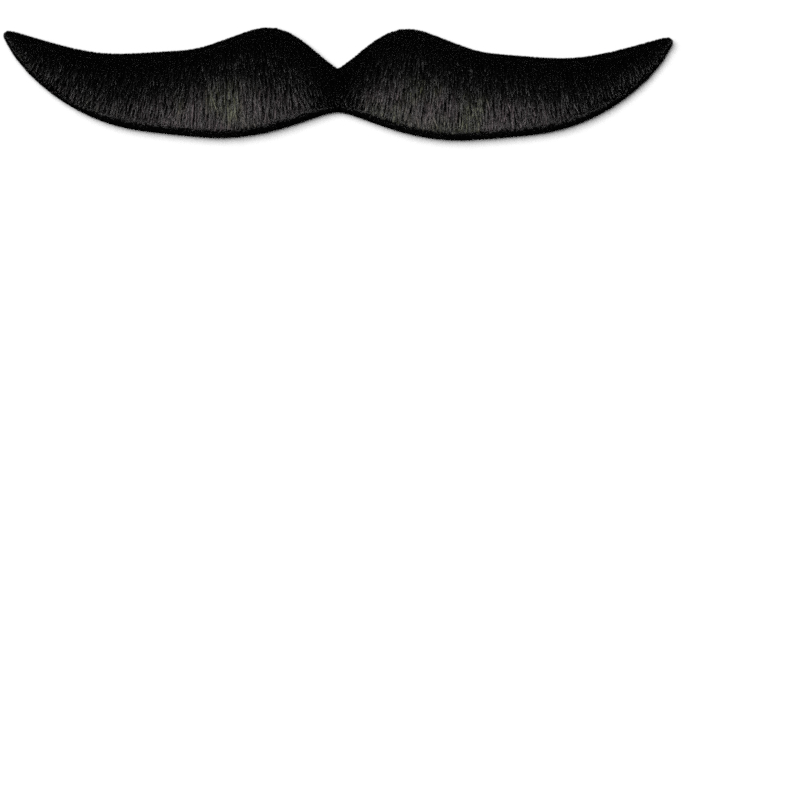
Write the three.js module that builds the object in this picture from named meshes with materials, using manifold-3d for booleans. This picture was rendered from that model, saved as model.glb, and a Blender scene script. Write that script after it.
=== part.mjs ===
// A stick-on handlebar moustache of black plush, lying on its back with the hair up.
// It is one cut of plush cloth, so the hair pile is one body: a crowned mat with combed locks fused to it.
// The pile sits on a cut backing cloth, and a double-sided strip behind the cloth sticks it to the upper lip.
// Millimetres. +X runs to the wearer's left tip, +Y to the nose, +Z out of the face.
// The origin is under the middle of the outline, on the surface that the strip rests on.
import * as THREE from "three";
import { mergeVertices } from "three/addons/utils/BufferGeometryUtils.js";
import Module from "manifold-3d";

const wasm = await Module();
wasm.setup();

// Outline of the pile, tip to tip and from the lowest hair to the top of the shoulders
const SPAN = 140;
const HEIGHT = 23.4;

// Hair pile
const PILE_DEPTH = 4.0; // from the face of the cloth to the crown of the mat
const HAIR_RIM = 1.6; // width over which the hair rounds down at the lower edge
const CUT_RIM = 1.4; // width over which the cut hair rounds down at the upper edge
const CROWN_FALL = 0.05; // share of the depth that the crown loses towards either edge
const CROWN_AT = 0.42; // share of the way up at which the mat is highest
const OVERHANG = 1.8; // how far the hair droops beyond the lower edge of the cloth
const DROOP_CLEARANCE = 0.2; // from the resting surface to the lowest drooping hair
const RIM_SHARE = 0.9; // most of a narrow section's height that its two rounded edges may take together

// Locks combed down over the mat
const LOCK_PITCH = 3.5; // from one lock to the next across the moustache
const LOCK_LENGTH = 9.0;
const LOCK_RELIEF = 0.45; // how far a lock stands proud of the mat
const LOCK_ROOT = 0.7; // how deep a lock's foot is sunk in the mat
const ROW_PITCH = 5.6; // from the tips of one row to the tips of the next one up
const TIP_BAND = 1.6; // plain drooping hair between the lowest tips and the lower edge
const TIP_RAGGED = 0.7; // how far neighbouring tips differ
const EDGE_MARGIN = 1.0; // from a lock's root to the cut upper edge
const SHORTEST_LOCK = 0.42; // share of the length under which a lock is left out

// Backing cloth
const CLOTH = 1.0;
const CUT_INSET = 0.4; // from the hair's outline to the cloth along the upper edge and at the tips
const EDGE_CLEARANCE = 0.3; // between the cut edge of the cloth and the hair that droops past it

// Adhesive strip
const STRIP_LENGTH = 96;
const STRIP_HEIGHT = 6;
const STRIP_THICKNESS = 0.5;

const SEAT_GAP = 0.1; // between stacked layers
const STATION = 2.6; // step between sections along the moustache
const NOTCH_STEP = 0.84; // from the middle to the first section beside it, where the notch is rounded
const SLOPE_STEP = 0.5; // over which an edge's slope is taken
const TRIM = 0.2; // from the outline to the sides of a lock that would cross it

const CLOTH_BACK = STRIP_THICKNESS + SEAT_GAP;
const CLOTH_FACE = CLOTH_BACK + CLOTH;
const PILE_BACK = CLOTH_FACE + SEAT_GAP;
const HALF_SPAN = SPAN / 2;

// Upper edge of one half: along is the share of the half span, rise the share of the height.
const UPPER_EDGE = [
  { along: 0.0, rise: 0.636 },
  { along: 0.014, rise: 0.662 },
  { along: 0.036, rise: 0.711 },
  { along: 0.107, rise: 0.884 },
  { along: 0.143, rise: 0.95 },
  { along: 0.179, rise: 0.989 },
  { along: 0.211, rise: 1.0 },
  { along: 0.25, rise: 0.982 },
  { along: 0.3, rise: 0.93 },
  { along: 0.357, rise: 0.867 },
  { along: 0.393, rise: 0.827 },
  { along: 0.443, rise: 0.793 },
  { along: 0.5, rise: 0.777 },
  { along: 0.643, rise: 0.75 },
  { along: 0.714, rise: 0.756 },
  { along: 0.786, rise: 0.79 },
  { along: 0.857, rise: 0.842 },
  { along: 0.971, rise: 0.938 },
  { along: 0.99, rise: 0.944 },
  { along: 1.0, rise: 0.918 },
];

// Lower edge of one half
const LOWER_EDGE = [
  { along: 0.0, rise: 0.242 },
  { along: 0.036, rise: 0.223 },
  { along: 0.143, rise: 0.113 },
  { along: 0.214, rise: 0.052 },
  { along: 0.286, rise: 0.014 },
  { along: 0.354, rise: 0.0 },
  { along: 0.429, rise: 0.011 },
  { along: 0.571, rise: 0.052 },
  { along: 0.643, rise: 0.087 },
  { along: 0.714, rise: 0.15 },
  { along: 0.786, rise: 0.249 },
  { along: 0.857, rise: 0.384 },
  { along: 0.929, rise: 0.571 },
  { along: 0.971, rise: 0.724 },
  { along: 0.99, rise: 0.82 },
  { along: 1.0, rise: 0.877 },
];

// Depth of the pile along one half, as a share of its full depth
const DEPTH_SHARE = [
  { along: 0.0, rise: 0.84 },
  { along: 0.08, rise: 0.9 },
  { along: 0.2, rise: 1.0 },
  { along: 0.6, rise: 0.97 },
  { along: 0.85, rise: 0.86 },
  { along: 0.96, rise: 0.7 },
  { along: 1.0, rise: 0.5 },
];

// Points of the mat's section, as shares: of the overhang under its lip, of the rounded lower edge,
// of the back between the two edges and of the rounded upper edge. The last is of the depth, on the cut face.
const LIP_AT = 0.3;
const HAIR_RIM_AT = [0.03, 0.14, 0.36, 1];
const BACK_AT = [0.4, 0.75];
const CUT_RIM_AT = [1, 0.32];
const CUT_FACE_AT = 0.3;

// Comb of the hair along one half: degrees that it leans outwards from straight down
const COMB_LEAN = [
  { along: 0.0, rise: 0 },
  { along: 0.06, rise: -13 },
  { along: 0.18, rise: -4 },
  { along: 0.45, rise: 3 },
  { along: 0.75, rise: 12 },
  { along: 1.0, rise: 24 },
];

// A lock from root to tip: its spine's height as a share of the relief, its width as a share of the pitch
const LOCK_SHAPE = [
  { along: 0.0, height: -0.6, width: 0.5 },
  { along: 0.35, height: 0.7, width: 0.96 },
  { along: 0.72, height: 1.0, width: 0.7 },
  { along: 1.0, height: 0.3, width: 0.08 },
];
const SHOULDER = { across: 0.8, height: 0.3 }; // of a lock's section, beside its spine

// Height of a smooth curve through a table's rows. The slope at each row is that between its neighbours.
function curveThrough(rows, along, endSlope = null) {
  const last = rows.length - 1;
  const at = Math.min(Math.max(along, 0), 1);
  let i = 0;
  while (i < last - 1 && at > rows[i + 1].along) i++;
  const slopeAt = (k) => {
    if (k === 0) return endSlope ?? 0;
    const before = rows[k - 1];
    const after = rows[Math.min(k + 1, last)];
    return (after.rise - before.rise) / (after.along - before.along);
  };
  const a = rows[i];
  const b = rows[i + 1];
  const width = b.along - a.along;
  const t = (at - a.along) / width;
  const t2 = t * t;
  const t3 = t2 * t;
  return (
    a.rise * (2 * t3 - 3 * t2 + 1) +
    width * slopeAt(i) * (t3 - 2 * t2 + t) +
    b.rise * (3 * t2 - 2 * t3) +
    width * slopeAt(i + 1) * (t3 - t2)
  );
}

const shareAlong = (x) => Math.abs(x) / HALF_SPAN;
const upperEdge = (x) => HEIGHT * (curveThrough(UPPER_EDGE, shareAlong(x)) - 0.5);
const lowerEdge = (x) => HEIGHT * (curveThrough(LOWER_EDGE, shareAlong(x)) - 0.5);
const pileDepth = (x) => PILE_DEPTH * curveThrough(DEPTH_SHARE, shareAlong(x));
const combLean = (x) => Math.sign(x) * THREE.MathUtils.degToRad(curveThrough(COMB_LEAN, shareAlong(x)));

// A quarter ellipse that rises from 0 at the edge to 1 where the rounding ends.
function roundOff(distance, width) {
  const left = 1 - THREE.MathUtils.clamp(distance / width, 0, 1);
  return Math.sqrt(1 - left * left);
}

// Narrow sections near the tips shrink both roundings and the overhang together.
function rims(x) {
  const tall = upperEdge(x) - lowerEdge(x);
  const fit = Math.min(1, (RIM_SHARE * tall) / (HAIR_RIM + CUT_RIM));
  return { hair: HAIR_RIM * fit, cut: CUT_RIM * fit, hang: OVERHANG * fit, tall };
}

// Height of the mat's surface over the resting surface. A point outside the outline counts as on the edge.
function matSurface(x, y) {
  const { hair, cut, tall } = rims(x);
  const below = THREE.MathUtils.clamp(y - lowerEdge(x), 0, tall);
  const above = tall - below;
  const share = below / tall;
  const away = share < CROWN_AT ? 1 - share / CROWN_AT : (share - CROWN_AT) / (1 - CROWN_AT);
  const crown = 1 - CROWN_FALL * away * away;
  const droop = PILE_BACK - DROOP_CLEARANCE;
  const full = pileDepth(x) * crown;
  const lower = (full + droop) * roundOff(below, hair) - droop;
  return PILE_BACK + Math.min(lower, full) * roundOff(above, cut);
}

// Where along the moustache it has a section: at even steps, and closer at the notch and the round tips
function stations() {
  const steps = Math.ceil(HALF_SPAN / STATION);
  const tipRows = UPPER_EDGE.slice(-3, -1).map((row) => row.along * HALF_SPAN);
  const evenSteps = Array.from({ length: steps }, (_, i) => ((i + 1) * HALF_SPAN) / steps);
  const half = [...new Set([NOTCH_STEP, ...evenSteps, ...tipRows])].sort((a, b) => a - b);
  return [...half.map((x) => -x).reverse(), 0, ...half];
}

// A closed body through rings of points, each seen counter-clockwise from the first ring's outer side.
function loft(rings) {
  const count = rings[0].length;
  const positions = [];
  const face = (...points) => points.forEach((p) => positions.push(p.x, p.y, p.z));
  for (let i = 0; i + 1 < rings.length; i++) {
    for (let j = 0; j < count; j++) {
      const k = (j + 1) % count;
      face(rings[i][j], rings[i + 1][k], rings[i][k]);
      face(rings[i][j], rings[i + 1][j], rings[i + 1][k]);
    }
  }
  const cap = (ring, flat, flip) => {
    for (const [a, b, c] of THREE.ShapeUtils.triangulateShape(flat, [])) {
      if (flip) face(ring[a], ring[c], ring[b]);
      else face(ring[a], ring[b], ring[c]);
    }
  };
  const flatten = (ring) => {
    const across = new THREE.Vector3().subVectors(ring[ring.across], ring[0]).normalize();
    return ring.map((p) => {
      const offset = new THREE.Vector3().subVectors(p, ring[0]);
      return new THREE.Vector2(offset.dot(across), p.z);
    });
  };
  const first = rings[0];
  const last = rings[rings.length - 1];
  cap(first, flatten(first), false);
  cap(last, flatten(last), true);
  const geometry = new THREE.BufferGeometry();
  geometry.setAttribute("position", new THREE.Float32BufferAttribute(positions, 3));
  return geometry;
}

// One section of the mat at x, from the cloth's lower edge round the drooping rim and over the crown.
function matRing(x) {
  const low = lowerEdge(x);
  const high = upperEdge(x);
  const { hair, cut, hang, tall } = rims(x);
  const heights = [
    ...HAIR_RIM_AT.map((share) => low + share * hair),
    ...BACK_AT.map((share) => low + THREE.MathUtils.lerp(hair, tall - cut, share)),
    ...CUT_RIM_AT.map((share) => high - share * cut),
  ];
  const ring = [
    new THREE.Vector3(x, high, PILE_BACK),
    new THREE.Vector3(x, low + hang, PILE_BACK),
    new THREE.Vector3(x, low + hang, DROOP_CLEARANCE),
    new THREE.Vector3(x, low + LIP_AT * hang, DROOP_CLEARANCE),
    new THREE.Vector3(x, low, PILE_BACK - CLOTH / 2),
    ...heights.map((y) => new THREE.Vector3(x, y, Math.max(matSurface(x, y), PILE_BACK))),
    new THREE.Vector3(x, high, PILE_BACK + CUT_FACE_AT * pileDepth(x)),
  ];
  ring.across = 1;
  return ring;
}

// Roots and lengths of all the locks: rows of tips step up from the lower edge, offset by half a pitch.
// A lock leans as it goes down, so its root stands to the inner side of its tip.
function lockPlaces() {
  const places = [];
  const columns = Math.floor(HALF_SPAN / LOCK_PITCH);
  for (let row = 0; row < Math.ceil(HEIGHT / ROW_PITCH); row++) {
    const shift = row % 2 ? LOCK_PITCH / 2 : 0;
    for (let column = -columns; column <= columns; column++) {
      const x = column * LOCK_PITCH + shift;
      if (Math.abs(x) > HALF_SPAN - LOCK_PITCH / 2) continue;
      const ragged = TIP_RAGGED * Math.sin(2.4 * column + 1.7 * row);
      const tip = lowerEdge(x) + TIP_BAND + ragged + row * ROW_PITCH;
      const root = Math.min(tip + LOCK_LENGTH, upperEdge(x) - EDGE_MARGIN);
      const length = (root - tip) / Math.cos(combLean(x));
      if (length < SHORTEST_LOCK * LOCK_LENGTH) continue;
      places.push({ x: x - length * Math.sin(combLean(x)), root, length });
    }
  }
  return places;
}

// One lock: a flat ridge that leaves the mat at its root, follows the comb and tapers to its tip.
function lockGeometry({ x, root, length }) {
  const lean = combLean(x);
  const rings = LOCK_SHAPE.map((row) => {
    const along = row.along * length;
    const cx = x + along * Math.sin(lean);
    const cy = root - along * Math.cos(lean);
    const half = (row.width * LOCK_PITCH) / 2;
    const side = (share, lift) => {
      const px = cx + share * half * Math.cos(lean);
      const py = cy + share * half * Math.sin(lean);
      return new THREE.Vector3(px, py, matSurface(px, py) + lift);
    };
    const height = row.height * LOCK_RELIEF;
    const shoulder = SHOULDER.height * height;
    const ring = [
      side(1, -LOCK_ROOT),
      side(-1, -LOCK_ROOT),
      side(-SHOULDER.across, shoulder),
      side(0, height),
      side(SHOULDER.across, shoulder),
    ];
    ring.across = 1;
    return ring;
  });
  return loft(rings);
}

function solidFrom(geometry) {
  const bare = geometry.clone();
  bare.deleteAttribute("normal");
  bare.deleteAttribute("uv");
  const merged = mergeVertices(bare, 1e-4);
  return new wasm.Manifold(
    new wasm.Mesh({
      numProp: 3,
      vertProperties: new Float32Array(merged.attributes.position.array),
      triVerts: new Uint32Array(merged.index.array),
    }),
  );
}

function geometryFrom(solid) {
  const mesh = solid.getMesh();
  const geometry = new THREE.BufferGeometry();
  geometry.setAttribute("position", new THREE.BufferAttribute(mesh.vertProperties, mesh.numProp));
  geometry.setIndex(new THREE.BufferAttribute(mesh.triVerts, 1));
  geometry.computeVertexNormals();
  return geometry;
}

// Outline of the moustache, moved inwards by one distance along the lower edge and another along the upper.
// An inset along the normal of a sloping edge is longer when it is measured straight up.
function insetOutline(lowInset, highInset, shortest) {
  const slant = (edge, x) => Math.hypot(1, (edge(x + SLOPE_STEP) - edge(x - SLOPE_STEP)) / (2 * SLOPE_STEP));
  const low = (x) => lowerEdge(x) + lowInset * slant(lowerEdge, x);
  const high = (x) => upperEdge(x) - highInset * slant(upperEdge, x);
  const xs = stations().filter((x) => high(x) - low(x) >= shortest);
  return new THREE.Shape([
    ...xs.map((x) => new THREE.Vector2(x, low(x))),
    ...xs.reverse().map((x) => new THREE.Vector2(x, high(x))),
  ]);
}

// The mat with its locks, which are trimmed to the outline first.
function pileGeometry() {
  const depth = PILE_BACK + 2 * PILE_DEPTH;
  const outline = new THREE.ExtrudeGeometry(insetOutline(TRIM, TRIM, TRIM), { depth, bevelEnabled: false });
  const within = solidFrom(outline);
  let pile = solidFrom(loft(stations().map(matRing)));
  for (const place of lockPlaces()) {
    const lock = solidFrom(lockGeometry(place)).intersect(within);
    pile = pile.add(lock);
  }
  return geometryFrom(pile);
}

// The backing cloth, cut inside the hair's outline so that the hair droops past its lower edge.
function clothGeometry() {
  const outline = insetOutline(OVERHANG + EDGE_CLEARANCE, CUT_INSET, CLOTH);
  return new THREE.ExtrudeGeometry(outline, { depth: CLOTH, bevelEnabled: false });
}

function material(color, roughness) {
  return new THREE.MeshStandardMaterial({ color, roughness, metalness: 0 });
}

function piece(name, geometry, finish, x, y, z) {
  const mesh = new THREE.Mesh(geometry, finish);
  mesh.name = name;
  mesh.position.set(x, y, z);
  return mesh;
}

const clothMiddle =
  (upperEdge(0) - CUT_INSET + lowerEdge(0) + OVERHANG + EDGE_CLEARANCE) / 2;

const moustache = new THREE.Group();
moustache.add(piece("hair_pile", pileGeometry(), material(0x0b0b0c, 0.55), 0, 0, 0));
moustache.add(piece("backing_cloth", clothGeometry(), material(0x17171a, 0.95), 0, 0, CLOTH_BACK));
moustache.add(
  piece(
    "adhesive_strip",
    new THREE.BoxGeometry(STRIP_LENGTH, STRIP_HEIGHT, STRIP_THICKNESS),
    material(0xe9e6da, 0.6),
    0,
    clothMiddle,
    STRIP_THICKNESS / 2,
  ),
);

export default moustache;
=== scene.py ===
"""A stick-on handlebar moustache of black plush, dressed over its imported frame.

The hair is real geometry: tens of thousands of tapered strands, gathered in small locks. Each
lock ends on the surface of the frame's hair pile, and runs back from there under the locks above
it, as combed plush does.
"""
import logging
import math
from dataclasses import dataclass, field
from enum import Enum

import bpy
import numpy as np
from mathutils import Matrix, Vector
from mathutils.bvhtree import BVHTree

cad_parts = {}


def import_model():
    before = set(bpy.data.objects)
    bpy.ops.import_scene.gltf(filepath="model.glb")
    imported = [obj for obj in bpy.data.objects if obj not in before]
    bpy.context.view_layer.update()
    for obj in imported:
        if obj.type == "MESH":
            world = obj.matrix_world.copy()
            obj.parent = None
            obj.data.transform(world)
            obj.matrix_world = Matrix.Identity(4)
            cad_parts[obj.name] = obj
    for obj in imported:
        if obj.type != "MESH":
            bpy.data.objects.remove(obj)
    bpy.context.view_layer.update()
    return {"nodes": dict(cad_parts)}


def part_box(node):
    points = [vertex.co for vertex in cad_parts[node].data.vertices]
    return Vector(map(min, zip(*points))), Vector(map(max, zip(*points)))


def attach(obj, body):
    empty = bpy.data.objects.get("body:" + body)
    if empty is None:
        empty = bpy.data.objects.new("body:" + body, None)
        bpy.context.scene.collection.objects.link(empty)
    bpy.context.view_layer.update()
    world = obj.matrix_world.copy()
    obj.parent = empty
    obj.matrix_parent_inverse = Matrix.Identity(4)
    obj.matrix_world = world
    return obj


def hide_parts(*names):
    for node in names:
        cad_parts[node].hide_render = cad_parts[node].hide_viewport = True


LOG = logging.getLogger("moustache")
MM = 0.001  # metres in a millimetre
TINY = 1e-12  # stands in for a length or an area of nothing
MERGE_MM = 0.002  # corners of loose triangles that lie nearer than this are one
SHARP_DEG = 60.0  # edges that turn by more than this are rounded
WAVE_REPEAT_M = 0.314  # how soon a wave texture of scale 1 repeats
LOWEST_FACING = -0.2  # the least Z of a normal on which hair grows
Array = np.ndarray
Range = tuple[float, float]
Axes = tuple[float, float, float]
Table = tuple[Range, ...]


class Slot(Enum):
    """The material slots."""

    HAIR = "hair"
    BACKING = "backing"
    ADHESIVE = "adhesive"


class Part(Enum):
    """The frame's nodes."""

    PILE = "hair_pile"
    CLOTH = "backing_cloth"
    STRIP = "adhesive_strip"


def srgb(code: str) -> tuple[float, float, float, float]:
    """Turn an sRGB hex colour to linear light.

    Args:
        code: Six hex digits after a hash sign.

    Returns:
        Red, green, blue and full opacity for a shader socket.
    """
    shares = [int(code[i : i + 2], 16) / 255 for i in (1, 3, 5)]
    linear = [c / 12.92 if c <= 0.04045 else ((c + 0.055) / 1.055) ** 2.4 for c in shares]
    return (*linear, 1.0)


def add_node(
    tree: bpy.types.NodeTree, kind: str, settings: dict | None = None, links: dict | None = None
) -> bpy.types.Node:
    """Add a shader node with its settings and links.

    Args:
        tree: The node tree that gets it.
        kind: The node's type name.
        settings: Attributes by name, and input values by socket name or number.
        links: Output sockets by the name or number of the input that each feeds.

    Returns:
        The new node.
    """
    node = tree.nodes.new(kind)
    for name, value in (settings or {}).items():
        if isinstance(name, str) and hasattr(node, name):
            setattr(node, name, value)
        else:
            node.inputs[name].default_value = value
    for name, source in (links or {}).items():
        tree.links.new(source, node.inputs[name])
    return node


def new_material(name: str) -> tuple[bpy.types.Material, bpy.types.NodeTree]:
    """Make an empty node material.

    Args:
        name: The material's name.

    Returns:
        The material and its emptied node tree.
    """
    material = bpy.data.materials.new(name)
    material.use_nodes = True
    material.node_tree.nodes.clear()
    return material, material.node_tree


def read_off(table: Table, at: Array) -> Array:
    """Read a table of places and values, with straight lines between its rows.

    Args:
        table: Pairs of a place and its value, by rising place.
        at: The places that are asked for.

    Returns:
        The value at each of them.
    """
    places, values = zip(*table)
    return np.interp(at, places, values)


def share_of_way(values: Array, start: float, end: float) -> Array:
    """Return how far each value is on its way from start to end, from 0 to 1."""
    return np.clip((values - start) / (end - start), 0, 1)


def spread_out(points: Array, gaps: Array, count: int) -> Array:
    """Choose points that keep their distance from one another.

    Args:
        points: Places in random order.
        gaps: How far each keeps from those that are chosen before it.
        count: How many are chosen. Where too few keep their distance, the first others are added.

    Returns:
        The numbers of the chosen points.
    """
    cell = float(gaps.max())
    cells: dict[tuple[int, int], list[Axes]] = {}
    chosen: list[int] = []
    others: list[int] = []
    for i, ((x, y, z), gap) in enumerate(zip(points.tolist(), gaps.tolist())):
        column, row = int(x // cell), int(y // cell)
        around = [(column + a, row + b) for a in (-1, 0, 1) for b in (-1, 0, 1)]
        near = (p for key in around for p in cells.get(key, ()))
        if any((p[0] - x) ** 2 + (p[1] - y) ** 2 + (p[2] - z) ** 2 < gap * gap for p in near):
            others.append(i)
            continue
        cells.setdefault((column, row), []).append((x, y, z))
        chosen.append(i)
        if len(chosen) == count:
            break
    return np.array((chosen + others)[:count])


def deselect_all() -> None:
    """Leave nothing selected, so that an operator acts on its own object alone."""
    for piece in bpy.context.selected_objects:
        piece.select_set(False)


def activate(piece: bpy.types.Object) -> None:
    """Make a piece the one that operators act on."""
    deselect_all()
    piece.select_set(True)
    bpy.context.view_layer.objects.active = piece


def apply_modifier(piece: bpy.types.Object, name: str, kind: str, **settings: object) -> None:
    """Add a modifier to a piece, set it and apply it.

    Args:
        piece: The piece that it shapes.
        name: The modifier's name.
        kind: The modifier's type.
        **settings: Its attributes.
    """
    modifier = piece.modifiers.new(name, kind)
    for key, value in settings.items():
        setattr(modifier, key, value)
    activate(piece)
    bpy.ops.object.modifier_apply(modifier=name)


def round_edges(piece: bpy.types.Object, name: str, width_mm: float, smooth_deg: float) -> None:
    """Round a piece's sharp edges with a narrow bevel, and smooth its shading.

    Args:
        piece: The piece.
        name: The bevel's name.
        width_mm: The bevel's width.
        smooth_deg: The widest turn between faces that are shaded as one.
    """
    apply_modifier(
        piece,
        name,
        "BEVEL",
        width=width_mm * MM,
        segments=2,
        limit_method="ANGLE",
        angle_limit=math.radians(SHARP_DEG),
    )
    activate(piece)
    bpy.ops.object.shade_smooth_by_angle(angle=math.radians(smooth_deg))


def copy_of_node(part: Part, name: str) -> bpy.types.Object:
    """Copy a node's mesh into a new piece whose loose triangles are merged.

    Args:
        part: The frame's node.
        name: The new piece's name.

    Returns:
        The new piece.
    """
    source = bpy.data.objects[part.value]
    piece = bpy.data.objects.new(name, source.data.copy())
    piece.data.name = name
    piece.data.materials.clear()
    bpy.context.scene.collection.objects.link(piece)
    activate(piece)
    bpy.ops.object.mode_set(mode="EDIT")
    bpy.ops.mesh.select_all(action="SELECT")
    bpy.ops.mesh.remove_doubles(threshold=MERGE_MM * MM)
    bpy.ops.object.mode_set(mode="OBJECT")
    return piece


def dress(piece: bpy.types.Object, material: bpy.types.Material) -> None:
    """Give a piece its material, and let it ride on the part's one body."""
    piece.data.materials.clear()
    piece.data.materials.append(material)
    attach(piece, "root")


@dataclass(frozen=True)
class PlushFibre:
    """Dyed acrylic plush fibre: smooth round rods, black but for a thin glint along each.

    Where it lies flat it is painted paler, in olive and violet patches: painted sheen of the
    overhead light, with paleness that differs at random from lock to lock. A fine crimp breaks
    its glint and its painted sheen into short dashes. It is drawn coarser than real crimp, so
    that it shows.
    """

    black: str = "#030303"
    violet: str = "#5d5154"
    olive: str = "#5c5e49"
    patch_mm: float = 9.0
    patch_squeeze: Axes = (1.0, 0.5, 1.0)  # under 1 draws the pattern out along that axis
    patch_limits: Range = (0.51, 0.63)
    crimp_mm: float = 0.22
    crimp_squeeze: Axes = (1.0, 0.45, 0.45)
    crimp_limits: Range = (0.35, 0.65)
    # How much painted sheen and paleness each crimp dash keeps, from least to most.
    dash_sheen_and_wear: Range = (0.1, 1.9)
    relief_mm: float = 0.05
    relief_strength: float = 0.8
    roughness: float = 0.34
    ior: float = 1.5

    def material(self) -> bpy.types.Material:
        """Build the strands' material, which reads each strand's painted sheen and paleness from
        its mesh.
        """
        material, tree = new_material("dyed_acrylic_plush_fibre")
        place = add_node(tree, "ShaderNodeTexCoord")
        # Each strand's painted sheen and paleness: paler where it lies flat under the overhead
        # light.
        sheen_and_wear = add_node(tree, "ShaderNodeAttribute", {"attribute_name": "sheen_and_wear"})
        drawn_out = add_node(
            tree, "ShaderNodeMapping", {"Scale": self.patch_squeeze},
            {"Vector": place.outputs["Object"]},
        )
        patches = add_node(
            tree, "ShaderNodeTexNoise", {"Scale": 1 / (self.patch_mm * MM), "Detail": 1.0},
            {"Vector": drawn_out.outputs["Vector"]},
        )
        patch_share = add_node(
            tree, "ShaderNodeMapRange",
            {"From Min": self.patch_limits[0], "From Max": self.patch_limits[1]},
            {"Value": patches.outputs["Fac"]},
        )
        # The tint of the painted sheen and paleness, in olive and violet patches.
        sheen_tint = add_node(
            tree, "ShaderNodeMix", {"data_type": "RGBA", 6: srgb(self.violet), 7: srgb(self.olive)},
            {0: patch_share.outputs["Result"]},
        )
        crimped = add_node(
            tree, "ShaderNodeMapping", {"Scale": self.crimp_squeeze},
            {"Vector": place.outputs["Object"]},
        )
        crimp = add_node(
            tree, "ShaderNodeTexNoise", {"Scale": 1 / (self.crimp_mm * MM), "Detail": 0.0},
            {"Vector": crimped.outputs["Vector"]},
        )
        # The crimp's dashes scale the painted sheen and paleness.
        dashes = add_node(
            tree, "ShaderNodeMapRange",
            {
                "From Min": self.crimp_limits[0],
                "From Max": self.crimp_limits[1],
                "To Min": self.dash_sheen_and_wear[0],
                "To Max": self.dash_sheen_and_wear[1],
            },
            {"Value": crimp.outputs["Fac"]},
        )
        sheen_and_wear_share = add_node(
            tree, "ShaderNodeMath", {"operation": "MULTIPLY"},
            {0: sheen_and_wear.outputs["Fac"], 1: dashes.outputs["Result"]},
        )
        # Black, painted paler towards the tint where the painted sheen and paleness fall.
        colour = add_node(
            tree, "ShaderNodeMix", {"data_type": "RGBA", 6: srgb(self.black)},
            {0: sheen_and_wear_share.outputs["Value"], 7: sheen_tint.outputs[2]},
        )
        bump = add_node(
            tree, "ShaderNodeBump",
            {"Strength": self.relief_strength, "Distance": self.relief_mm * MM},
            {"Height": crimp.outputs["Fac"]},
        )
        shader = add_node(
            tree, "ShaderNodeBsdfPrincipled", {"Roughness": self.roughness, "IOR": self.ior},
            {"Base Color": colour.outputs[2], "Normal": bump.outputs["Normal"]},
        )
        add_node(tree, "ShaderNodeOutputMaterial", links={"Surface": shader.outputs["BSDF"]})
        return material


@dataclass(frozen=True)
class UnderfurFinish:
    """Short matted plush at the foot of the pile.

    It takes in nearly all light, so that the gaps between the strands above it are black.
    """

    colour: str = "#020202"
    strand_mm: float = 0.35
    strand_squeeze: Axes = (1.0, 0.12, 0.3)
    relief_mm: float = 0.15
    relief_strength: float = 0.8
    roughness: float = 0.9

    def material(self) -> bpy.types.Material:
        """Build the mat's material, with a fine relief of strands that run down the part."""
        material, tree = new_material("matted_plush_underfur")
        place = add_node(tree, "ShaderNodeTexCoord")
        stretched = add_node(
            tree, "ShaderNodeMapping", {"Scale": self.strand_squeeze},
            {"Vector": place.outputs["Object"]},
        )
        strands = add_node(
            tree, "ShaderNodeTexNoise", {"Scale": 1 / (self.strand_mm * MM), "Detail": 2.0},
            {"Vector": stretched.outputs["Vector"]},
        )
        bump = add_node(
            tree, "ShaderNodeBump",
            {"Strength": self.relief_strength, "Distance": self.relief_mm * MM},
            {"Height": strands.outputs["Fac"]},
        )
        shader = add_node(
            tree, "ShaderNodeBsdfPrincipled",
            {
                "Base Color": srgb(self.colour),
                "Roughness": self.roughness,
                "Specular IOR Level": 0.0,
            },
            {"Normal": bump.outputs["Normal"]},
        )
        add_node(tree, "ShaderNodeOutputMaterial", links={"Surface": shader.outputs["BSDF"]})
        return material


@dataclass(frozen=True)
class KnitCloth:
    """Warp-knitted polyester backing: fine ribs of stitches run along it, matt and a bit fuzzy."""

    thread: str = "#17171a"
    groove: str = "#0a0a0c"
    rib_mm: float = 0.9
    rib_waver: float = 0.4
    stitch_mm: float = 0.7
    stitch_waver: float = 1.2
    relief_mm: float = 0.12
    relief_strength: float = 0.7
    roughness: float = 0.9
    fuzz: float = 0.1

    def material(self) -> bpy.types.Material:
        """Build the knit from two crossed waves: the ribs, and the stitches along each rib."""
        material, tree = new_material("warp_knitted_polyester")
        place = add_node(tree, "ShaderNodeTexCoord")
        ribs = add_node(
            tree, "ShaderNodeTexWave",
            {
                "bands_direction": "X",
                "Scale": WAVE_REPEAT_M / (self.rib_mm * MM),
                "Distortion": self.rib_waver,
            },
            {"Vector": place.outputs["Object"]},
        )
        stitches = add_node(
            tree, "ShaderNodeTexWave",
            {
                "bands_direction": "Y",
                "Scale": WAVE_REPEAT_M / (self.stitch_mm * MM),
                "Distortion": self.stitch_waver,
            },
            {"Vector": place.outputs["Object"]},
        )
        weave = add_node(
            tree, "ShaderNodeMath", {"operation": "MULTIPLY"},
            {0: ribs.outputs["Fac"], 1: stitches.outputs["Fac"]},
        )
        colour = add_node(
            tree, "ShaderNodeMix",
            {"data_type": "RGBA", 6: srgb(self.groove), 7: srgb(self.thread)},
            {0: weave.outputs["Value"]},
        )
        bump = add_node(
            tree, "ShaderNodeBump",
            {"Strength": self.relief_strength, "Distance": self.relief_mm * MM},
            {"Height": weave.outputs["Value"]},
        )
        shader = add_node(
            tree, "ShaderNodeBsdfPrincipled",
            {"Roughness": self.roughness, "Sheen Weight": self.fuzz},
            {"Base Color": colour.outputs[2], "Normal": bump.outputs["Normal"]},
        )
        add_node(tree, "ShaderNodeOutputMaterial", links={"Surface": shader.outputs["BSDF"]})
        return material


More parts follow.
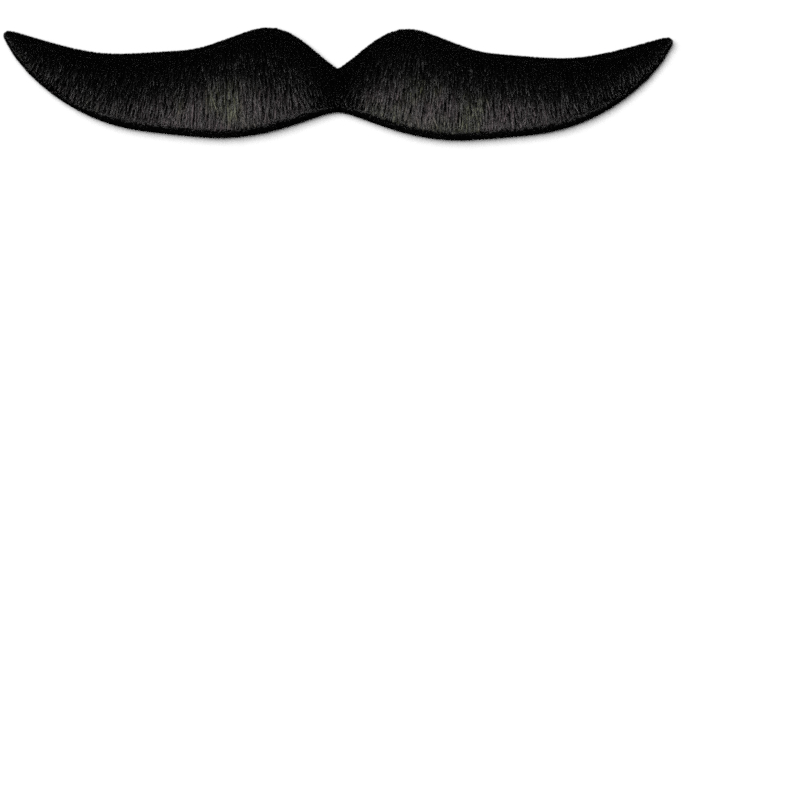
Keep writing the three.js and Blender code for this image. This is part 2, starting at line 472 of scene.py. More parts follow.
@dataclass(frozen=True)
class FoamTape:
    """Double-sided polyethylene foam tape: off-white and matt, with faint pits of closed cells."""

    colour: str = "#e8e4d8"
    shade: str = "#d9d4c4"
    cell_mm: float = 0.4
    relief_mm: float = 0.05
    relief_strength: float = 0.5
    roughness: float = 0.55

    def material(self) -> bpy.types.Material:
        """Build the tape's material."""
        material, tree = new_material("polyethylene_foam_tape")
        place = add_node(tree, "ShaderNodeTexCoord")
        cells = add_node(
            tree, "ShaderNodeTexVoronoi", {"Scale": 1 / (self.cell_mm * MM)},
            {"Vector": place.outputs["Object"]},
        )
        # Painted shade: a touch darker in the pits at the cells' middles.
        colour = add_node(
            tree, "ShaderNodeMix", {"data_type": "RGBA", 6: srgb(self.shade), 7: srgb(self.colour)},
            {0: cells.outputs["Distance"]},
        )
        bump = add_node(
            tree, "ShaderNodeBump",
            {"Strength": self.relief_strength, "Distance": self.relief_mm * MM},
            {"Height": cells.outputs["Distance"]},
        )
        shader = add_node(
            tree, "ShaderNodeBsdfPrincipled", {"Roughness": self.roughness},
            {"Base Color": colour.outputs[2], "Normal": bump.outputs["Normal"]},
        )
        add_node(tree, "ShaderNodeOutputMaterial", links={"Surface": shader.outputs["BSDF"]})
        return material


@dataclass(frozen=True)
class SweepPaper:
    """Matt white paper under the object: it shows no gloss, only a soft shadow."""

    colour: str = "#e4e4e4"
    roughness: float = 1.0

    def material(self) -> bpy.types.Material:
        """Build the floor's material."""
        material, tree = new_material("matt_white_paper")
        shader = add_node(
            tree, "ShaderNodeBsdfPrincipled",
            {
                "Base Color": srgb(self.colour),
                "Roughness": self.roughness,
                "Specular IOR Level": 0.0,
            },
        )
        add_node(tree, "ShaderNodeOutputMaterial", links={"Surface": shader.outputs["BSDF"]})
        return material


class PileShape:
    """The frame's hair pile, measured in millimetres: its outline from above and its skin."""

    least_height_mm = 0.5

    def __init__(self, mat: bpy.types.Object, step_mm: float = 0.25) -> None:
        """Measure the pile.

        Args:
            mat: The smooth mat, whose slopes the hair follows.
            step_mm: Distance between the stations at which the outline is taken.
        """
        node = bpy.data.objects[Part.PILE.value]
        self.corners = self._triangles(node.data)
        self.normals, self.areas = self._skin()
        low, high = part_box(Part.PILE.value)
        self.half_span = max(abs(low[0]), high[0]) / MM
        self.stations = np.arange(-self.half_span + step_mm / 2, self.half_span, step_mm)
        self.low, self.high = self._edges()
        mesh = mat.data
        points = [v.co / MM for v in mesh.vertices]
        self.tree = BVHTree.FromPolygons(points, [tuple(p.vertices) for p in mesh.polygons])

    @staticmethod
    def _triangles(mesh: bpy.types.Mesh) -> Array:
        """Return the mesh's triangles as an array of triangle, corner and axis."""
        mesh.calc_loop_triangles()
        points = np.empty(len(mesh.vertices) * 3)
        mesh.vertices.foreach_get("co", points)
        corners = np.empty(len(mesh.loop_triangles) * 3, dtype=np.int32)
        mesh.loop_triangles.foreach_get("vertices", corners)
        return points.reshape(-1, 3)[corners.reshape(-1, 3)] / MM

    def _skin(self) -> tuple[Array, Array]:
        """Return each triangle's normal, and its area, which is 0 where it faces down."""
        a, b, c = self.corners[:, 0], self.corners[:, 1], self.corners[:, 2]
        normals = np.cross(b - a, c - a)
        areas = np.linalg.norm(normals, axis=1)
        normals /= np.maximum(areas, TINY)[:, None]
        return normals, np.where(normals[:, 2] > LOWEST_FACING, areas, 0.0) / 2

    def _edges(self) -> tuple[Array, Array]:
        """Return the lowest and highest Y of the pile at each station."""
        starts = self.corners.reshape(-1, 3)
        ends = np.roll(self.corners, -1, axis=1).reshape(-1, 3)
        low, high = [], []
        for x in self.stations:
            cross = (starts[:, 0] - x) * (ends[:, 0] - x) < 0
            a, b = starts[cross], ends[cross]
            y = a[:, 1] + (x - a[:, 0]) / (b[:, 0] - a[:, 0]) * (b[:, 1] - a[:, 1])
            low.append(y.min())
            high.append(y.max())
        return np.array(low), np.array(high)

    def edges_at(self, x: Array) -> tuple[Array, Array]:
        """Return the lower and the upper edge's Y at each X."""
        return np.interp(x, self.stations, self.low), np.interp(x, self.stations, self.high)

    def sample_skin(self, count: int, rng: np.random.Generator) -> tuple[Array, Array]:
        """Scatter points evenly over the skin that doesn't face down.

        Args:
            count: How many points.
            rng: The random numbers.

        Returns:
            The points and their normals.
        """
        a, b, c = self.corners[:, 0], self.corners[:, 1], self.corners[:, 2]
        chosen = rng.choice(len(self.areas), size=count, p=self.areas / self.areas.sum())
        u, v = rng.random((2, count))
        fold = u + v > 1
        u, v = np.where(fold, 1 - u, u)[:, None], np.where(fold, 1 - v, v)[:, None]
        return a[chosen] + u * (b - a)[chosen] + v * (c - a)[chosen], self.normals[chosen]

    def rim_distance(self, points: Array) -> Array:
        """Return how far each point is from the lower edge."""
        slope = np.interp(points[..., 0], self.stations, np.gradient(self.low, self.stations))
        return (points[..., 1] - self.edges_at(points[..., 0])[0]) / np.sqrt(1 + slope**2)

    def rise_share(self, points: Array) -> Array:
        """Return how far up from the lower to the upper edge each point is, from 0 to 1."""
        low, high = self.edges_at(points[..., 0])
        height = np.maximum(high - low, self.least_height_mm)
        return np.clip((points[..., 1] - low) / height, 0, 1)

    def mat_normals(self, points: Array) -> Array:
        """Return the smooth mat's normal nearest to each point."""
        return np.array([self.tree.find_nearest(Vector(p))[1] for p in points])


@dataclass(frozen=True)
class Comb:
    """How the hair lies: which way it leans, and how far it stands off the mat, in degrees."""

    # The outward lean from straight down, by the distance from the middle as a share of the
    # half span.
    lean: Table = (
        (0.0, 0.0), (0.02, -20.0), (0.06, -22.0), (0.11, -13.0),
        (0.2, -4.0), (0.45, 3.0), (0.75, 12.0), (1.0, 24.0),
    )  # fmt: skip
    # The lift off the mat, by how far up the place is from the lower edge to the upper one.
    lift: Table = (
        (0.0, 4.0), (0.15, 5.0), (0.25, 7.0), (0.35, 11.0), (0.45, 18.0),
        (0.55, 23.5), (0.65, 29.0), (0.75, 39.0), (0.85, 49.0), (1.0, 58.0),
    )  # fmt: skip
    # The extra lift where hair is ruffled, at the parting and at both tips, by the signed
    # share of the half span.
    ruffle: Table = (
        (-1.0, 16.5), (-0.74, 16.5), (-0.6, 13.5), (-0.47, 5.0), (-0.38, 0.0),
        (-0.3, 0.0), (-0.2, 9.0), (-0.12, 14.0), (-0.08, 19.0), (-0.04, 33.0),
        (0.0, 37.0), (0.04, 27.0), (0.08, 12.0), (0.13, 5.0), (0.25, 2.0),
        (0.42, 5.0), (0.55, 7.5), (0.69, 16.0), (0.78, 24.0), (1.0, 24.0),
    )  # fmt: skip
    steepest_deg: float = 84.0

    def lean_at(self, x: Array, half_span: float) -> Array:
        """Return the outward lean from straight down, in radians, at each X."""
        return np.sign(x) * np.radians(read_off(self.lean, np.abs(x) / half_span))

    def lift_at(self, points: Array, shape: PileShape) -> Array:
        """Return how far combed hair stands off the mat at each point, in radians."""
        return np.radians(read_off(self.lift, shape.rise_share(points)))

    def ruffle_at(self, points: Array, shape: PileShape) -> Array:
        """Return how much further the hair is ruffled up at each point, in radians."""
        return np.radians(read_off(self.ruffle, points[..., 0] / shape.half_span))

    def stand_deg(self, points: Array, shape: PileShape) -> Array:
        """Return how far the hair stands off the mat in all at each point, in degrees."""
        return np.degrees(self.lift_at(points, shape) + self.ruffle_at(points, shape))

    def directions(
        self, points: Array, shape: PileShape, turn: Array, tilt: Array, droop: float
    ) -> Array:
        """Return the way that hair grows at each point, towards its tip.

        Args:
            points: Places in the pile.
            shape: The pile.
            turn: Each lock's own turn about the vertical, in radians.
            tilt: Each lock's own extra lift, in radians.
            droop: The most that hair may point down before it is ruffled, in radians.

        Returns:
            Unit vectors.
        """
        lean = self.lean_at(points[:, 0], shape.half_span) + turn
        comb = np.stack([np.sin(lean), -np.cos(lean)], axis=1)
        normals = shape.mat_normals(points)
        downhill = -(normals[:, :2] * comb).sum(axis=1)
        fall = np.arctan2(downhill, np.maximum(normals[:, 2], LOWEST_FACING))
        combed = np.maximum(fall + self.lift_at(points, shape), -droop)
        rise = combed + self.ruffle_at(points, shape) + tilt
        rise = np.minimum(rise, math.radians(self.steepest_deg))
        return np.column_stack([comb * np.cos(rise)[:, None], np.sin(rise)])


@dataclass(frozen=True)
class LockKind:
    """One kind of lock of hair, and how it lies in the pile.

    Its tips lie at `rim_mm` from the lower edge and `sunk_mm` under the pile's skin.
    `sheen_and_wear_share` is how pale it may be painted where it lies flat: painted sheen, with
    paleness that differs at random from lock to lock. It stands `raised_deg` further off the mat
    than the comb has it, give or take `tilt_deg`, and turns aside by about `turn_deg`. Before it is
    ruffled it never points further down than `droop_deg`. Its root dives by `dive_deg`, and a
    strand that stands nods over by up to `nod_mm`.
    """

    count: int
    strands: int
    length_mm: Range
    rim_mm: Range
    sunk_mm: Range
    sheen_and_wear_share: Range
    turn_deg: float = 4.0
    tilt_deg: float = 4.0
    raised_deg: float = 0.0
    droop_deg: float = -3.0
    dive_deg: float = 35.0
    nod_mm: float = 0.9


@dataclass
class HairCoat:
    """The combed coat, split across the part into five pieces of equally many strands."""

    names: tuple[str, ...] = (
        "hair_right_wing",
        "hair_right_lobe",
        "hair_middle",
        "hair_left_lobe",
        "hair_left_wing",
    )
    # The dense lower layer stands up, so it is dark and takes little painted sheen. The sparse top
    # layer lies over it, glints and takes most of the painted sheen. Each has a hem of its own
    # beside the lower edge.
    under: LockKind = LockKind(
        count=11850, strands=2, length_mm=(5.0, 8.0), rim_mm=(1.0, 40.0), sunk_mm=(0.3, 0.7),
        sheen_and_wear_share=(0.0, 0.35), tilt_deg=5.0, raised_deg=18.0, nod_mm=0.3,
    )
    under_hem: LockKind = LockKind(
        count=1500, strands=3, length_mm=(5.0, 8.0), rim_mm=(0.95, 1.3), sunk_mm=(0.2, 0.4),
        sheen_and_wear_share=(0.0, 0.35), tilt_deg=5.0, raised_deg=14.0, nod_mm=0.1,
    )
    top: LockKind = LockKind(
        count=3900, strands=2, length_mm=(6.0, 9.0), rim_mm=(1.0, 40.0), sunk_mm=(0.0, 0.15),
        sheen_and_wear_share=(0.1, 1.0), turn_deg=6.0, nod_mm=0.75,
    )
    top_hem: LockKind = LockKind(
        count=560, strands=2, length_mm=(5.0, 8.0), rim_mm=(0.95, 1.35), sunk_mm=(0.0, 0.12),
        sheen_and_wear_share=(0.2, 1.0), nod_mm=0.1,
    )
    # Short hair that folds down over the lower edge, as a dark band.
    rim: LockKind = LockKind(
        count=1500, strands=3, length_mm=(0.9, 1.5), rim_mm=(-1.0, 0.9), sunk_mm=(0.0, 0.15),
        sheen_and_wear_share=(0.0, 0.0), droop_deg=85.0, dive_deg=0.0,
    )
    # A few strands that lie across the rest, painted paler than the others: a strong painted sheen
    # where they lie flat.
    strays: LockKind = LockKind(
        count=260, strands=2, length_mm=(4.0, 7.0), rim_mm=(1.2, 40.0), sunk_mm=(-0.2, 0.0),
        sheen_and_wear_share=(0.9, 1.5), turn_deg=16.0,
    )
    rim_ragged_mm: float = 0.07
    # How wide the dark band is, by the share of the half span: narrow in the middle and at tips.
    rim_narrowed: Table = (
        (0.0, 0.3), (0.04, 0.4), (0.1, 1.0), (0.66, 1.0), (0.84, 0.25), (1.0, 0.25),
    )  # fmt: skip
    # How dense the locks are, by how far they stand. One that lies flat hides its neighbours.
    thinned: Table = ((6.0, 0.6), (22.0, 1.0))
    samples_per_lock: int = 80
    tries_per_lock: int = 14
    evenness: float = 0.72  # a lock's distance from the next, as a share of its field's side
    # Real fibres are about 0.04 mm thick. These are as coarse as they need to be to show.
    strand_mm: Range = (0.13, 0.19)
    strand_pitch_mm: float = 0.11
    splay: Range = (1.5, 0.8)
    stray_mm: Axes = (0.02, 0.02, 0.03)
    foot_cut: Range = (0.0, 0.12)
    tip_cut: Range = (0.97, 1.0)
    edge_margin_mm: Range = (0.16, -0.02)
    lowest_mm: float = 0.2
    root_height_mm: float = 1.75
    painted_sheen_deg: Range = (26.0, 8.0)  # from where hair stands too steep for painted sheen to full painted sheen
    sheen_and_wear_rarity: int = 3
    nod_deg: Range = (15.0, 35.0)  # from hair that is too flat to nod to hair that nods in full
    nod_rarity: int = 2
    spine_steps: int = 6
    stations: tuple[float, ...] = (0.0, 0.4, 0.7, 0.965)
    girths: tuple[float, ...] = (0.8, 1.0, 0.95, 0.75)
    sides: int = 3
    uv_margin: float = 0.1
    seed: int = 4
    comb: Comb = field(default_factory=Comb)
    finish: PlushFibre = field(default_factory=PlushFibre)

    def build(self, shape: PileShape) -> list[bpy.types.Object]:
        """Grow the strands and make one piece for each stretch of the moustache.

        Args:
            shape: The pile whose skin the locks end on.

        Returns:
            The pieces, from the wearer's right to their left.
        """
        rng = np.random.default_rng(self.seed)
        kinds = (self.under, self.under_hem, self.top, self.top_hem, self.rim, self.strays)
        grown = [self._grow(kind, shape, rng) for kind in kinds]
        lines, sheen_and_wear = (np.concatenate(parts) for parts in zip(*grown))
        order = np.argsort(lines[:, -1, 0])
        pieces = []
        for name, chosen in zip(self.names, np.array_split(order, len(self.names))):
            pieces.append(self._mesh_piece(name, lines[chosen], sheen_and_wear[chosen], rng))
        return pieces

    def _grow(
        self, kind: LockKind, shape: PileShape, rng: np.random.Generator
    ) -> tuple[Array, Array]:
        """Grow all locks of one kind.

        Args:
            kind: The kind of lock.
            shape: The pile.
            rng: The random numbers.

        Returns:
            The strands' middle lines, and how much painted sheen and paleness each strand takes
            at each of its stations.
        """
        tips = self._tips(kind, shape, rng)
        turn = np.radians(rng.normal(0, kind.turn_deg, kind.count))
        spines = self._spines(tips, turn, kind, shape, rng)
        owner = np.repeat(np.arange(kind.count), kind.strands)
        lines = self._part(spines, owner, turn, kind, shape, rng)
        # Strands that lie flat are painted paler: painted sheen, scaled by a paleness that differs
        # at random from lock to lock.
        flat = share_of_way(self.comb.stand_deg(lines, shape), *self.painted_sheen_deg)
        rarity = rng.random(kind.count)[owner] ** self.sheen_and_wear_rarity
        sheen_and_wear_share = kind.sheen_and_wear_share[0] + (kind.sheen_and_wear_share[1] - kind.sheen_and_wear_share[0]) * rarity
        return lines, flat * sheen_and_wear_share[:, None]

    def _tips(self, kind: LockKind, shape: PileShape, rng: np.random.Generator) -> Array:
        """Choose where the locks end, evenly spread at their distance from the rim.

        Args:
            kind: The kind of lock.
            shape: The pile.
            rng: The random numbers.

        Returns:
            Points on the pile's skin or a little under it.
        """
        points, normals = shape.sample_skin(kind.count * self.samples_per_lock, rng)
        distance = shape.rim_distance(points) + rng.normal(0, self.rim_ragged_mm, len(points))
        distance /= read_off(self.rim_narrowed, np.abs(points[:, 0]) / shape.half_span)
        inside = np.flatnonzero((distance > kind.rim_mm[0]) & (distance < kind.rim_mm[1]))
        area = shape.areas.sum() * len(inside) / len(points)
        inside = inside[: kind.count * self.tries_per_lock]
        density = read_off(self.thinned, self.comb.stand_deg(points[inside], shape))
        gaps = self.evenness * np.sqrt(area / kind.count * density.mean() / density)
        chosen = inside[spread_out(points[inside], gaps, kind.count)]
        depth = rng.uniform(*kind.sunk_mm, kind.count)
        return points[chosen] - normals[chosen] * depth[:, None]

    def _spines(
        self, tips: Array, turn: Array, kind: LockKind, shape: PileShape, rng: np.random.Generator
    ) -> Array:
        """Trace each lock's middle line back from its tip.

        Args:
            tips: Where the locks end.
            turn: Each lock's own turn about the vertical, in radians.
            kind: The kind of lock.
            shape: The pile.
            rng: The random numbers.

        Returns:
            Points from root to tip, in rows.
        """
        tilt = np.radians(rng.normal(kind.raised_deg, kind.tilt_deg, kind.count))
        step = rng.uniform(*kind.length_mm, kind.count) / self.spine_steps
        lowest = np.minimum(tips[:, 2], self.root_height_mm)
        droop = math.radians(kind.droop_deg)
        spines = np.empty((kind.count, self.spine_steps + 1, 3))
        point = tips
        spines[:, -1] = point
        for k in range(self.spine_steps - 1, -1, -1):
            # The half nearest the root dives, ever more steeply.
            dive = math.radians(kind.dive_deg) * max(0.0, 1 - 2 * (k + 1) / self.spine_steps)
            way = self.comb.directions(point, shape, turn, tilt + dive, droop)
            point = self._inside(point - way * step[:, None], shape)
            point[:, 2] = np.maximum(point[:, 2], lowest)
            spines[:, k] = point
        return spines

    def _inside(self, points: Array, shape: PileShape) -> Array:
        """Return the points, moved in from the two edges where they had left the pile."""
        low, high = shape.edges_at(points[..., 0])
        low, high = low + self.edge_margin_mm[0], high - self.edge_margin_mm[1]
        kept = points.copy()
        kept[..., 1] = np.clip(points[..., 1], low, high)
        kept[..., 2] = np.maximum(points[..., 2], self.lowest_mm)
        return kept

    def _part(
        self,
        spines: Array,
        owner: Array,
        turn: Array,
        kind: LockKind,
        shape: PileShape,
        rng: np.random.Generator,
    ) -> Array:
        """Part each lock into strands that lie side by side.

        Args:
            spines: The locks' middle lines.
            owner: Each strand's lock.
            turn: Each lock's own turn about the vertical, in radians.
            kind: The kind of lock.
            shape: The pile that the strands stay in.
            rng: The random numbers.

        Returns:
            The strands' middle lines, from root to tip.
        """
        count = len(owner)
        start, end = rng.uniform(*self.foot_cut, count), rng.uniform(*self.tip_cut, count)
        shares = np.array([*self.stations, 1.0])
        at = (start[:, None] + (end - start)[:, None] * shares) * self.spine_steps
        before = np.minimum(at.astype(int), self.spine_steps - 1)
        part = (at - before)[:, :, None]
        row = owner[:, None]
        lines = spines[row, before] * (1 - part) + spines[row, before + 1] * part
        lean = (self.comb.lean_at(spines[:, -1, 0], shape.half_span) + turn)[owner]
        aside = np.stack([np.cos(lean), np.sin(lean), np.zeros(count)], axis=1)
        place = np.arange(count) % kind.strands - (kind.strands - 1) / 2
        splay = self.splay[0] + (self.splay[1] - self.splay[0]) * shares
        shift = (place * self.strand_pitch_mm)[:, None] * splay
        lines += aside[:, None] * shift[:, :, None]
        lines += rng.normal(0, 1, (count, 1, 3)) * self.stray_mm
        # Standing strands nod over at their ends, a few of them far enough to glint.
        standing = share_of_way(self.comb.stand_deg(lines[:, -1], shape), *self.nod_deg)
        nod = kind.nod_mm * rng.random(count) ** self.nod_rarity * standing
        bent = share_of_way(shares, 0.5, 1.0) ** 2
        lines[:, :, 2] += nod[:, None] * (1 - bent)
        return self._inside(lines, shape)

    def _mesh_piece(
        self, name: str, lines: Array, sheen_and_wear: Array, rng: np.random.Generator
    ) -> bpy.types.Object:
        """Make one joined mesh of closed tapered tubes.

        Args:
            name: The piece's name.
            lines: Each strand's middle line, from root to tip.
            sheen_and_wear: How much painted sheen and paleness each strand takes at each station.
            rng: The random numbers.

        Returns:
            The piece, with a UV cell for each strand and its painted sheen and paleness as an
            attribute.
        """
        count, rings = len(lines), len(self.stations)
        points = self._tube_points(lines, rng)
        faces, cell = self._tube_faces()
        corners = np.concatenate(faces) + np.arange(count)[:, None] * points.shape[1]
        sizes = np.tile([len(face) for face in faces], count)
        starts = np.concatenate([[0], np.cumsum(sizes)[:-1]])
        mesh = bpy.data.meshes.new(name)
        mesh.vertices.add(count * points.shape[1])
        mesh.vertices.foreach_set("co", (points * MM).astype(np.float32).ravel())
        mesh.loops.add(corners.size)
        mesh.loops.foreach_set("vertex_index", corners.astype(np.int32).ravel())
        mesh.polygons.add(len(starts))
        mesh.polygons.foreach_set("loop_start", starts.astype(np.int32))
        mesh.update(calc_edges=True)
        mesh.validate()
        mesh.shade_smooth()
        # Each vertex carries its strand's painted sheen and paleness, for the fibre material to
        # read.
        on_rings = np.repeat(sheen_and_wear[:, :rings], self.sides, axis=1)
        sheen_and_wear_share = np.concatenate([on_rings, sheen_and_wear[:, -1:]], axis=1).astype(np.float32)
        mesh.attributes.new("sheen_and_wear", "FLOAT", "POINT").data.foreach_set("value", sheen_and_wear_share.ravel())
        uv = self._on_grid(cell, count).astype(np.float32)
        mesh.uv_layers.new(name="OFBake").data.foreach_set("uv", uv.ravel())
        piece = bpy.data.objects.new(name, mesh)
        bpy.context.scene.collection.objects.link(piece)
        return piece

    def _tube_points(self, lines: Array, rng: np.random.Generator) -> Array:
        """Work out the strands' points.

        Args:
            lines: Each strand's middle line, from root to tip.
            rng: The random numbers.

        Returns:
            For each strand, the points of its rings and its tip.
        """
        count, rings = len(lines), len(self.stations)
        tangents = np.gradient(lines, axis=1)
        tangents /= np.maximum(np.linalg.norm(tangents, axis=2, keepdims=True), TINY)
        across = np.cross(tangents, np.array([1.0, 0.0, 0.0]))
        across /= np.maximum(np.linalg.norm(across, axis=2, keepdims=True), TINY)
        other = np.cross(tangents, across)
        corner_turns = np.arange(self.sides) * 2 * math.pi / self.sides
        turn = rng.uniform(0, 2 * math.pi, count)[:, None] + corner_turns
        radii = rng.uniform(*self.strand_mm, count)[:, None] / 2 * np.array(self.girths)
        ring = (
            across[:, :rings, None] * np.cos(turn)[:, None, :, None]
            + other[:, :rings, None] * np.sin(turn)[:, None, :, None]
        )
        tubes = lines[:, :rings, None] + ring * radii[:, :, None, None]
        return np.concatenate([tubes.reshape(count, -1, 3), lines[:, -1:]], axis=1)

    def _tube_faces(self) -> tuple[list[tuple[int, ...]], Array]:
        """Return one tube's faces, and the place of each corner of theirs in its UV cell."""
        faces: list[tuple[int, ...]] = []
        cell: list[Range] = []
        rings, sides, margin = len(self.stations), self.sides, self.uv_margin
        width = (1 - 2 * margin) / sides
        height = (1 - 2 * margin) / (rings + 1)
        tip = rings * sides
        for k in range(rings - 1):
            for j in range(sides):
                a, b = k * sides + j, k * sides + (j + 1) % sides
                faces.append((a, b, b + sides, a + sides))
                u, v = margin + j * width, margin + (k + 1) * height
                cell += [(u, v), (u + width, v), (u + width, v + height), (u, v + height)]
        for j in range(sides):
            a, b = (rings - 1) * sides + j, (rings - 1) * sides + (j + 1) % sides
            faces.append((a, b, tip))
            u, v = margin + j * width, margin + rings * height
            cell += [(u, v), (u + width, v), (u + width / 2, v + height)]
        foot_height = height * 0.9
        faces.append(tuple(reversed(range(sides))))
        cell += [(margin + j * width, margin + (j % 2) * foot_height) for j in range(sides)]
        return faces, np.array(cell)

    @staticmethod
    def _on_grid(cell: Array, count: int) -> Array:
        """Return the UV of every corner, with each strand in its own cell of a square grid."""
        columns = math.ceil(math.sqrt(count))
        index = np.arange(count)
        origins = np.stack([index % columns, index // columns], axis=1)[:, None]
        return (origins + cell[None]) / columns


@dataclass
class Underfur:
    """The short dense hair at the foot of the pile, which closes the view between strands."""

    name: str = "underfur"
    voxel_mm: float = 0.5
    smoothing: int = 4
    smoothing_factor: float = 0.5
    foot_mm: float = 1.7
    depth_share: float = 0.7
    inset_mm: Range = (0.12, 0.05)
    finish: UnderfurFinish = field(default_factory=UnderfurFinish)

    def build(self) -> bpy.types.Object:
        """Copy the pile's mesh, even it out and round off its locks."""
        piece = copy_of_node(Part.PILE, self.name)
        apply_modifier(piece, "Even", "REMESH", mode="VOXEL", voxel_size=self.voxel_mm * MM)
        apply_modifier(
            piece, "Round", "SMOOTH", factor=self.smoothing_factor, iterations=self.smoothing
        )
        piece.data.shade_smooth()
        return piece

    def sink(self, piece: bpy.types.Object, shape: PileShape) -> None:
        """Draw the mat in under the strands.

        Args:
            piece: The mat.
            shape: The pile, for its edges.
        """
        points = np.empty(len(piece.data.vertices) * 3)
        piece.data.vertices.foreach_get("co", points)
        points = points.reshape(-1, 3) / MM
        low, high = shape.edges_at(points[:, 0])
        low, high = low + self.inset_mm[0], high - self.inset_mm[1]
        points[:, 1] = np.clip(points[:, 1], low, high)
        above = np.maximum(points[:, 2] - self.foot_mm, 0)
        points[:, 2] -= above * (1 - self.depth_share)
        piece.data.vertices.foreach_set("co", (points * MM).ravel())
        piece.data.update()


@dataclass
class Backing:
    """The knitted cloth that the hair grows from, with a soft cut edge."""

    name: str = "knitted_backing"
    flat_deg: float = 1.0
    edge_mm: float = 0.2
    smooth_deg: float = 50.0
    finish: KnitCloth = field(default_factory=KnitCloth)

    def build(self) -> bpy.types.Object:
        """Copy the cloth's mesh, join its flat faces again and round its cut edge."""
        piece = copy_of_node(Part.CLOTH, self.name)
        bpy.ops.object.mode_set(mode="EDIT")
        bpy.ops.mesh.select_all(action="SELECT")
        bpy.ops.mesh.dissolve_limited(angle_limit=math.radians(self.flat_deg))
        bpy.ops.object.mode_set(mode="OBJECT")
        round_edges(piece, "Cut edge", self.edge_mm, self.smooth_deg)
        return piece

    @staticmethod
    def cut_area(piece: bpy.types.Object) -> float:
        """Return the cloth's area in square metres: half of its two sides and thin edge."""
        return sum(p.area for p in piece.data.polygons) / 2


@dataclass
class Strip:
    """The double-sided tape, with its rounded long edges and square cut ends."""

    name: str = "foam_tape"
    edge_mm: float = 0.06
    smooth_deg: float = 40.0
    cell_mm: float = 3.0
    finish: FoamTape = field(default_factory=FoamTape)

    def build(self) -> bpy.types.Object:
        """Start from a cube of the strip's size, part it into cells and round its edges."""
        low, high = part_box(Part.STRIP.value)
        size = [b - a for a, b in zip(low, high)]
        middle = [(a + b) / 2 for a, b in zip(low, high)]
        deselect_all()
        bpy.ops.mesh.primitive_cube_add(size=1, location=middle, scale=size)
        piece = bpy.context.active_object
        piece.name = piece.data.name = self.name
        bpy.ops.object.transform_apply(location=True, rotation=True, scale=True)
        bpy.ops.object.mode_set(mode="EDIT")
        for i in range(1, round(size[0] / (self.cell_mm * MM))):
            bpy.ops.mesh.select_all(action="SELECT")
            at = low[0] + i * self.cell_mm * MM
            bpy.ops.mesh.bisect(plane_co=(at, middle[1], middle[2]), plane_no=(1, 0, 0))
        bpy.ops.object.mode_set(mode="OBJECT")
        round_edges(piece, "Soft edge", self.edge_mm, self.smooth_deg)
        return piece


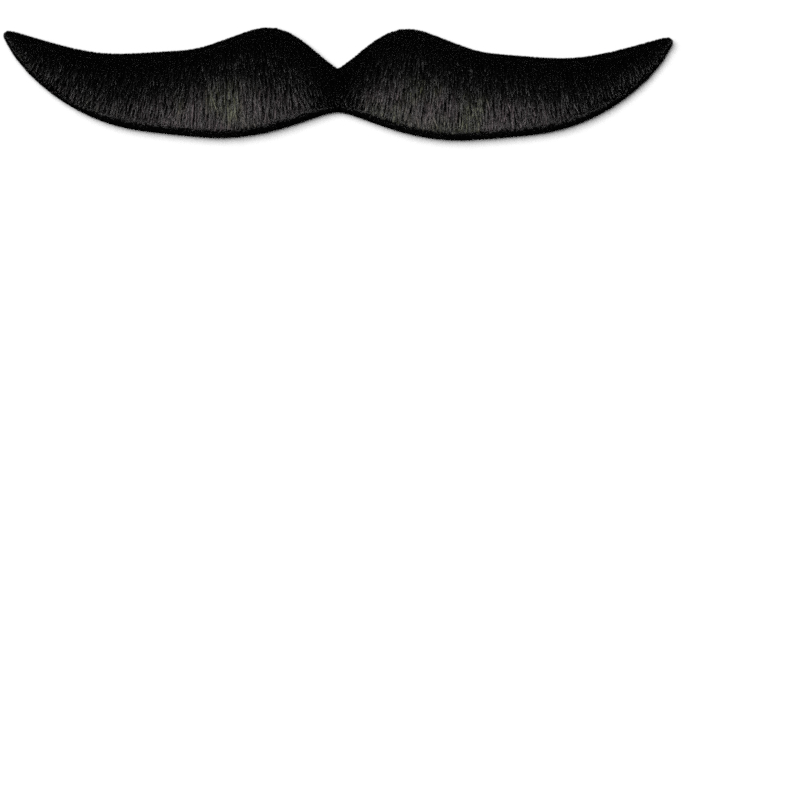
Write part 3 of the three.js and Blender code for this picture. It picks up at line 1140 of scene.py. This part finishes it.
@dataclass
class Studio:
    """A pale sweep, one large soft light from above, and the camera straight over the object.

    The point of the object that is `object_y_mm` up its middle line shows at `object_px`.
    """

    frame_px: int = 800
    mm_per_px: float = 0.2089
    object_px: Range = (337.6, 69.8)
    object_y_mm: float = 2.81
    turn_deg: float = 0.58
    lens_mm: float = 200.0
    sensor_mm: float = 36.0
    clip_m: Range = (0.05, 50.0)
    hair_height_mm: float = 4.0
    filter_px: float = 1.75
    floor_m: float = 12.0
    floor_cells: int = 8
    sun_strength: float = 4.1
    sun_width_deg: float = 36.0
    sun_tilt_deg: Range = (10.5, 12.0)
    fill: float = 0.06
    fill_in_gloss: float = 0.02
    backdrop: str = "#fdfdfd"
    finish: SweepPaper = field(default_factory=SweepPaper)

    def build(self) -> None:
        """Set up the camera, the light, the floor and the backdrop."""
        self._camera()
        self._light()
        self._floor()
        self._backdrop()

    def _camera(self) -> None:
        """Put the camera straight over the frame's centre, turned as the object lies."""
        turn = math.radians(self.turn_deg)
        right = (self.frame_px / 2 - self.object_px[0]) * self.mm_per_px
        down = (self.frame_px / 2 - self.object_px[1]) * self.mm_per_px
        x = right * math.cos(turn) + down * math.sin(turn)
        y = right * math.sin(turn) - down * math.cos(turn) + self.object_y_mm
        away = self.lens_mm / self.sensor_mm * self.frame_px * self.mm_per_px
        data = bpy.data.cameras.new("camera")
        data.lens, data.sensor_width = self.lens_mm, self.sensor_mm
        data.clip_start, data.clip_end = self.clip_m
        camera = bpy.data.objects.new("camera", data)
        camera.location = (x * MM, y * MM, (away + self.hair_height_mm) * MM)
        camera.rotation_euler = (0.0, 0.0, turn)
        bpy.context.scene.collection.objects.link(camera)
        bpy.context.scene.camera = camera

    def _light(self) -> None:
        """Hang one wide soft light overhead, a little towards the upper left."""
        data = bpy.data.lights.new("soft_overhead", "SUN")
        data.energy, data.angle = self.sun_strength, math.radians(self.sun_width_deg)
        light = bpy.data.objects.new("soft_overhead", data)
        light.rotation_euler = [-math.radians(tilt) for tilt in self.sun_tilt_deg] + [0.0]
        bpy.context.scene.collection.objects.link(light)

    def _floor(self) -> None:
        """Lay the paper on which the object rests."""
        deselect_all()
        bpy.ops.mesh.primitive_grid_add(
            x_subdivisions=self.floor_cells, y_subdivisions=self.floor_cells, size=self.floor_m
        )
        floor = bpy.context.active_object
        floor.name = "paper_sweep"
        floor.data.materials.append(self.finish.material())
        floor.visible_glossy = False  # hair ends show the dim studio, and not the bright paper

    def _backdrop(self) -> None:
        """Light the scene faintly from all round, and show a backdrop as pale as the paper."""
        scene = bpy.context.scene
        scene.view_settings.view_transform = "Standard"
        scene.cycles.use_denoising = False  # it would melt strands that are finer than a pixel
        scene.cycles.filter_width = self.filter_px
        world = scene.world or bpy.data.worlds.new("studio")
        scene.world = world
        world.use_nodes = True
        tree = world.node_tree
        tree.nodes.clear()
        rays = add_node(tree, "ShaderNodeLightPath")
        seen = add_node(tree, "ShaderNodeBackground", {"Color": srgb(self.backdrop)})
        light = add_node(tree, "ShaderNodeBackground", {"Strength": self.fill})
        dim = add_node(tree, "ShaderNodeBackground", {"Strength": self.fill_in_gloss})
        room = add_node(
            tree, "ShaderNodeMixShader",
            links={0: rays.outputs["Is Glossy Ray"], 1: light.outputs[0], 2: dim.outputs[0]},
        )
        mixed = add_node(
            tree, "ShaderNodeMixShader",
            links={0: rays.outputs["Is Camera Ray"], 1: room.outputs[0], 2: seen.outputs[0]},
        )
        add_node(tree, "ShaderNodeOutputWorld", links={"Surface": mixed.outputs[0]})


def main() -> None:
    """Dress the part, piece by piece, and set up its studio."""
    logging.basicConfig(level=logging.INFO, format="%(message)s")
    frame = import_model()
    LOG.info("frame: %s", ", ".join(sorted(frame["nodes"])))
    Studio().build()

    underfur = Underfur()
    mat = underfur.build()
    dress(mat, underfur.finish.material())
    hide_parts(Part.PILE.value)
    LOG.info("%s: %d faces", mat.name, len(mat.data.polygons))

    backing = Backing()
    cloth = backing.build()
    dress(cloth, backing.finish.material())
    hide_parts(Part.CLOTH.value)
    LOG.info("%s: %d faces", cloth.name, len(cloth.data.polygons))

    strip = Strip()
    tape = strip.build()
    dress(tape, strip.finish.material())
    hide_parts(Part.STRIP.value)
    LOG.info("%s: %d faces", tape.name, len(tape.data.polygons))

    coat = HairCoat()
    shape = PileShape(mat)
    hair = coat.build(shape)
    underfur.sink(mat, shape)
    fibre = coat.finish.material()
    for piece in hair:
        dress(piece, fibre)
        LOG.info("%s: %d faces", piece.name, len(piece.data.polygons))


if __name__ == "__main__":
    main()
